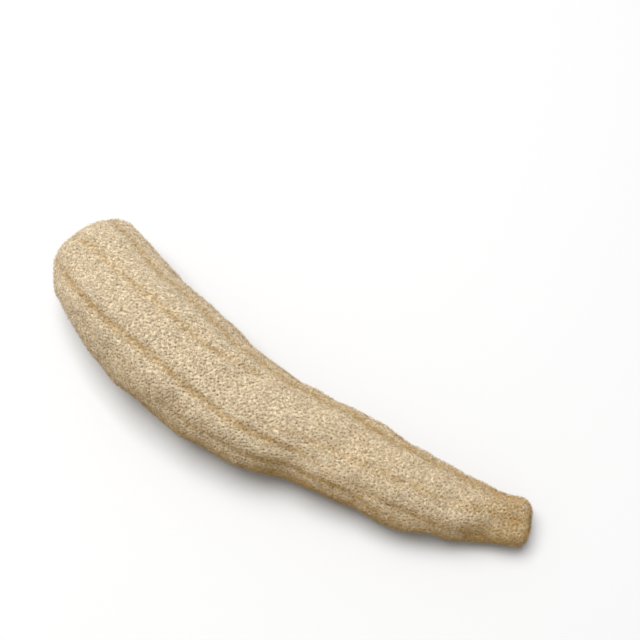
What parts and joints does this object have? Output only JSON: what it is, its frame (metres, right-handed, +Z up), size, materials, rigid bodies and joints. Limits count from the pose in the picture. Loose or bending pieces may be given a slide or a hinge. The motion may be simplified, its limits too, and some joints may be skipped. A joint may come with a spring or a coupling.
{
  "type": "natural loofah sponge",
  "caption": "Dried loofah sponge lying on its side: a curved, ribbed body of netted plant fibre, wide and blunt at one end, narrow and cut off at the other.",
  "frame": {"origin": "middle of the bounding box in plan, on the surface that the sponge lies on", "axes": "+X along the sponge from the blossom end to the cut stem end, +Y towards the hollow side of its curve, +Z up"},
  "size_m": [0.4438, 0.1308, 0.0861],
  "materials": {
    "loofah_fibre": "matte dried plant fibre, pale cream strands over a darker golden-brown mat"
  },
  "bodies": {
    "root": {"loofah_fibre_body": "loofah_fibre"}
  },
  "joints": []
}
